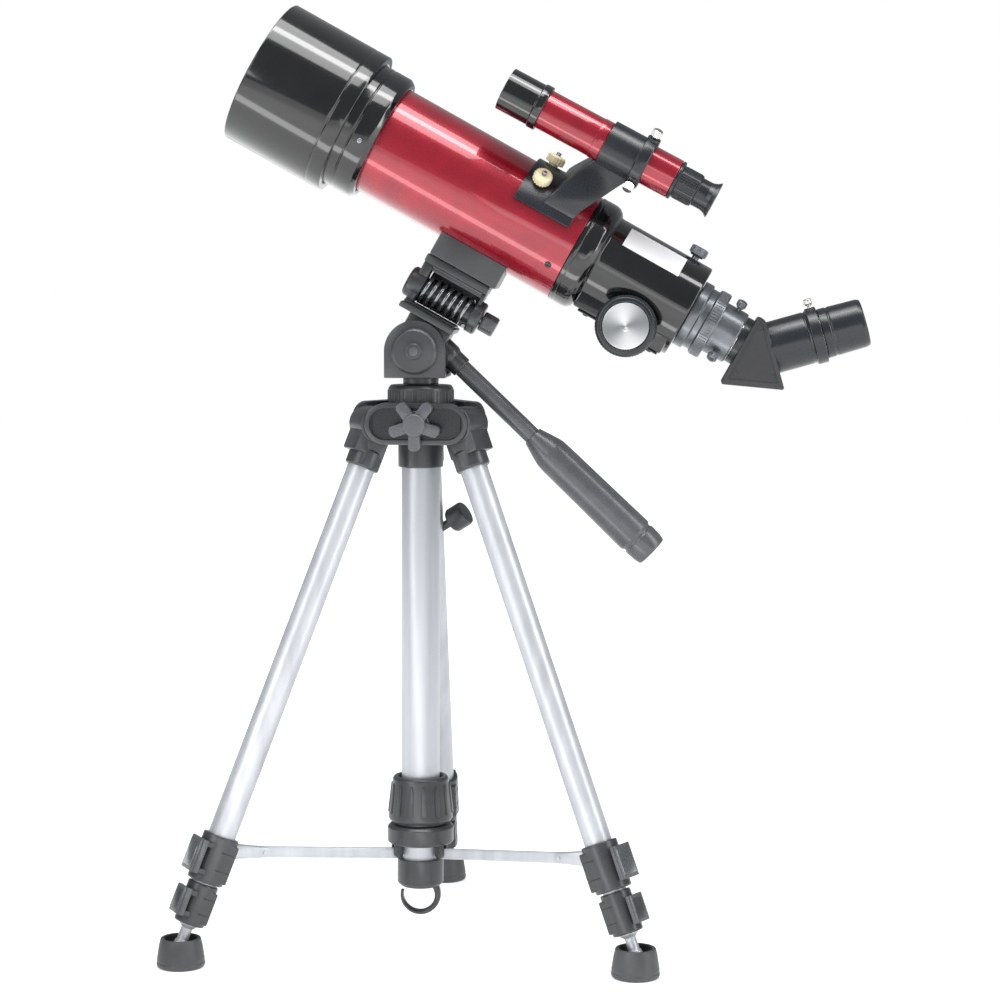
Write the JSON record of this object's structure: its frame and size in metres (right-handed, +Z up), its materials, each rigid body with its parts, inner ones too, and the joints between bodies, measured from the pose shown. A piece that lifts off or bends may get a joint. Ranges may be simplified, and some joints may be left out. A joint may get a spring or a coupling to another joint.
{
  "type": "refracting telescope on tripod",
  "caption": "Small refracting telescope with finder scope and angled eyepiece, on a folding aluminium tripod with a pan and tilt head.",
  "frame": {"origin": "middle of the footprint box, on the floor", "axes": "+Z up; the telescope lies in the XZ plane and points towards -X; the rear leg stands towards +Y"},
  "size_m": [0.4666, 0.2912, 0.6335],
  "materials": {
    "red_paint": "gloss metallic burgundy red",
    "black_paint": "gloss black",
    "black_plastic": "satin black, moulded and turned",
    "grey_plastic": "dark grey glass-filled moulding",
    "aluminium": "silver anodised, drawn tube and strip",
    "steel": "bright zinc plated",
    "rubber": "moulded grey rubber",
    "glass": "coated optical glass"
  },
  "bodies": {
    "tripod": {"chassis": "grey_plastic", "guide_tube": "aluminium", "hook_cap": "grey_plastic"},
    "column": {"centre_column": "aluminium", "pan_base": "grey_plastic"},
    "pan_head": {"pan_fork": "grey_plastic"},
    "tilt_top": {"tilt_platform": "grey_plastic", "handle_rod": "grey_plastic", "tube_block": "grey_plastic", "clamp_frame": "grey_plastic", "clamp_spring": "steel", "dew_shield": "black_paint", "objective_cell": "black_paint", "objective_lens": "glass", "main_tube": "red_paint", "focuser_body": "black_paint", "finder_bracket": "black_plastic", "finder_tube": "red_paint", "finder_shield": "black_plastic", "finder_eyepiece": "black_plastic"},
    "tilt_lock": {"tilt_bolt": "grey_plastic"},
    "handle": {"handle_grip": "grey_plastic"},
    "clamp_knob": {"clamp_screw": "steel"},
    "draw": {"drawtube": "black_plastic"},
    "focuser_knobs": {"focus_knobs": "black_plastic"},
    "diagonal": {"diagonal_housing": "black_plastic"},
    "ocular": {"eyepiece": "black_plastic"},
    "column_lock": {"star_knob": "grey_plastic"},
    "hub": {"spreader_hub": "grey_plastic"},
    "collar": {"twist_collar": "grey_plastic"},
    "left_leg": {"left_yoke": "grey_plastic", "left_upper_tube": "aluminium", "left_upper_lock": "grey_plastic"},
    "left_middle": {"left_middle_tube": "aluminium", "left_lower_lock": "grey_plastic"},
    "left_lower": {"left_lower_tube": "aluminium"},
    "left_foot": {"left_foot": "rubber"},
    "left_upper_lever": {"left_upper_lever": "grey_plastic"},
    "left_lower_lever": {"left_lower_lever": "grey_plastic"},
    "left_arm": {"left_arm": "aluminium"},
    "right_leg": {"right_yoke": "grey_plastic", "right_upper_tube": "aluminium", "right_upper_lock": "grey_plastic"},
    "right_middle": {"right_middle_tube": "aluminium", "right_lower_lock": "grey_plastic"},
    "right_lower": {"right_lower_tube": "aluminium"},
    "right_foot": {"right_foot": "rubber"},
    "right_upper_lever": {"right_upper_lever": "grey_plastic"},
    "right_lower_lever": {"right_lower_lever": "grey_plastic"},
    "right_arm": {"right_arm": "aluminium"},
    "rear_leg": {"rear_yoke": "grey_plastic", "rear_upper_tube": "aluminium", "rear_upper_lock": "grey_plastic"},
    "rear_middle": {"rear_middle_tube": "aluminium", "rear_lower_lock": "grey_plastic"},
    "rear_lower": {"rear_lower_tube": "aluminium"},
    "rear_foot": {"rear_foot": "rubber"},
    "rear_upper_lever": {"rear_upper_lever": "grey_plastic"},
    "rear_lower_lever": {"rear_lower_lever": "grey_plastic"},
    "rear_arm": {"rear_arm": "aluminium"}
  },
  "joints": [
    {"name": "column_slide", "type": "slide", "parent": "tripod", "child": "column", "axis": [0, 0, 1], "range_m": [0, 0.13]},
    {"name": "pan", "type": "hinge", "parent": "column", "child": "pan_head", "pos_m": [-0.06754, -0.0433, 0], "axis": [0, 0, 1], "continuous": true},
    {"name": "tilt", "type": "hinge", "parent": "pan_head", "child": "tilt_top", "pos_m": [-0.06954, -0.0433, 0.4037], "axis": [0, 1, 0], "range_deg": [-55, 1.5]},
    {"name": "tilt_lock_turn", "type": "hinge", "parent": "pan_head", "child": "tilt_lock", "pos_m": [-0.06954, -0.0433, 0.4037], "axis": [0, 1, 0], "continuous": true},
    {"name": "handle_turn", "type": "hinge", "parent": "tilt_top", "child": "handle", "pos_m": [-0.06111, -0.0433, 0.41252], "axis": [0.723, 0, -0.6909], "continuous": true},
    {"name": "clamp_turn", "type": "hinge", "parent": "tilt_top", "child": "clamp_knob", "pos_m": [-0.11267, -0.0433, 0.472], "axis": [0.8738, 0, -0.4863], "continuous": true},
    {"name": "focus_slide", "type": "slide", "parent": "tilt_top", "child": "draw", "axis": [0.8738, 0, -0.4863], "range_m": [0, 0.045]},
    {"name": "focus_turn", "type": "hinge", "parent": "tilt_top", "child": "focuser_knobs", "pos_m": [0.07146, -0.0433, 0.42159], "axis": [0, 1, 0], "range_deg": [-740, 740]},
    {"name": "diagonal_turn", "type": "hinge", "parent": "draw", "child": "diagonal", "pos_m": [0.15928, -0.0433, 0.40418], "axis": [0.8738, 0, -0.4863], "range_deg": [-120, 60]},
    {"name": "eyepiece_slide", "type": "slide", "parent": "diagonal", "child": "ocular", "axis": [0.9617, 0, 0.274], "range_m": [0, 0.03]},
    {"name": "column_lock_turn", "type": "hinge", "parent": "tripod", "child": "column_lock", "pos_m": [-0.06754, -0.0763, 0.3557], "axis": [0, 1, 0], "continuous": true},
    {"name": "hub_slide", "type": "slide", "parent": "tripod", "child": "hub", "axis": [0, 0, 1], "range_m": [0, 0.0551]},
    {"name": "collar_turn", "type": "hinge", "parent": "hub", "child": "collar", "pos_m": [-0.06754, -0.0433, 0], "axis": [0, 0, 1], "continuous": true},
    {"name": "left_leg_fold", "type": "hinge", "parent": "tripod", "child": "left_leg", "pos_m": [-0.09872, -0.0613, 0.355], "axis": [0.5, -0.866, 0], "range_deg": [0, 18]},
    {"name": "left_upper_slide", "type": "slide", "parent": "left_leg", "child": "left_middle", "axis": [-0.3323, -0.1918, -0.9235], "range_m": [0, 0.2]},
    {"name": "left_lower_slide", "type": "slide", "parent": "left_middle", "child": "left_lower", "axis": [-0.3323, -0.1918, -0.9235], "range_m": [0, 0.2]},
    {"name": "left_foot_turn", "type": "hinge", "parent": "left_lower", "child": "left_foot", "pos_m": [-0.21721, -0.12971, 0.01497], "axis": [0.5, -0.866, 0], "range_deg": [-12, 20]},
    {"name": "left_upper_flip", "type": "hinge", "parent": "left_leg", "child": "left_upper_lever", "pos_m": [-0.10071, -0.07446, 0.35845], "axis": [0.3323, 0.1918, 0.9235], "range_deg": [0, 100]},
    {"name": "left_lower_flip", "type": "hinge", "parent": "left_middle", "child": "left_lower_lever", "pos_m": [-0.10015, -0.07193, 0.35772], "axis": [0.3323, 0.1918, 0.9235], "range_deg": [0, 100]},
    {"name": "left_arm_fold", "type": "hinge", "parent": "hub", "child": "left_arm", "pos_m": [-0.08244, -0.05189, 0.061], "axis": [0.5, -0.866, 0], "range_deg": [0, 95]},
    {"name": "right_leg_fold", "type": "hinge", "parent": "tripod", "child": "right_leg", "pos_m": [-0.03636, -0.0613, 0.355], "axis": [0.5, 0.866, 0], "range_deg": [0, 18]},
    {"name": "right_upper_slide", "type": "slide", "parent": "right_leg", "child": "right_middle", "axis": [0.3323, -0.1918, -0.9235], "range_m": [0, 0.2]},
    {"name": "right_lower_slide", "type": "slide", "parent": "right_middle", "child": "right_lower", "axis": [0.3323, -0.1918, -0.9235], "range_m": [0, 0.2]},
    {"name": "right_foot_turn", "type": "hinge", "parent": "right_lower", "child": "right_foot", "pos_m": [0.08213, -0.12971, 0.01497], "axis": [0.5, 0.866, 0], "range_deg": [-12, 20]},
    {"name": "right_upper_flip", "type": "hinge", "parent": "right_leg", "child": "right_upper_lever", "pos_m": [-0.02397, -0.05644, 0.35845], "axis": [-0.3323, 0.1918, 0.9235], "range_deg": [0, 100]},
    {"name": "right_lower_flip", "type": "hinge", "parent": "right_middle", "child": "right_lower_lever", "pos_m": [-0.02644, -0.05721, 0.35772], "axis": [-0.3323, 0.1918, 0.9235], "range_deg": [0, 100]},
    {"name": "right_arm_fold", "type": "hinge", "parent": "hub", "child": "right_arm", "pos_m": [-0.05264, -0.05189, 0.061], "axis": [0.5, 0.866, 0], "range_deg": [0, 95]},
    {"name": "rear_leg_fold", "type": "hinge", "parent": "tripod", "child": "rear_leg", "pos_m": [-0.06754, -0.0073, 0.355], "axis": [-1, 0, 0], "range_deg": [0, 18]},
    {"name": "rear_upper_slide", "type": "slide", "parent": "rear_leg", "child": "rear_middle", "axis": [0, 0.3837, -0.9235], "range_m": [0, 0.2]},
    {"name": "rear_lower_slide", "type": "slide", "parent": "rear_middle", "child": "rear_lower", "axis": [0, 0.3837, -0.9235], "range_m": [0, 0.2]},
    {"name": "rear_foot_turn", "type": "hinge", "parent": "rear_lower", "child": "rear_foot", "pos_m": [-0.06754, 0.12953, 0.01497], "axis": [-1, 0, 0], "range_deg": [-12, 20]},
    {"name": "rear_upper_flip", "type": "hinge", "parent": "rear_leg", "child": "rear_upper_lever", "pos_m": [-0.07794, 0.00102, 0.35845], "axis": [0, -0.3837, 0.9235], "range_deg": [0, 100]},
    {"name": "rear_lower_flip", "type": "hinge", "parent": "rear_middle", "child": "rear_lower_lever", "pos_m": [-0.07604, -0.00074, 0.35772], "axis": [0, -0.3837, 0.9235], "range_deg": [0, 100]},
    {"name": "rear_arm_fold", "type": "hinge", "parent": "hub", "child": "rear_arm", "pos_m": [-0.06754, -0.0261, 0.061], "axis": [-1, 0, 0], "range_deg": [0, 95]}
  ],
  "couplings": [
    {"joint": "focus_turn", "follows": "focus_slide", "rad_per_m": 277.78},
    {"joint": "hub_slide", "follows": "left_leg_fold", "m_per_rad": 0.17507},
    {"joint": "left_arm_fold", "follows": "left_leg_fold", "ratio": 5.05},
    {"joint": "right_leg_fold", "follows": "left_leg_fold", "ratio": 1},
    {"joint": "right_arm_fold", "follows": "left_leg_fold", "ratio": 5.05},
    {"joint": "rear_leg_fold", "follows": "left_leg_fold", "ratio": 1},
    {"joint": "rear_arm_fold", "follows": "left_leg_fold", "ratio": 5.05}
  ]
}
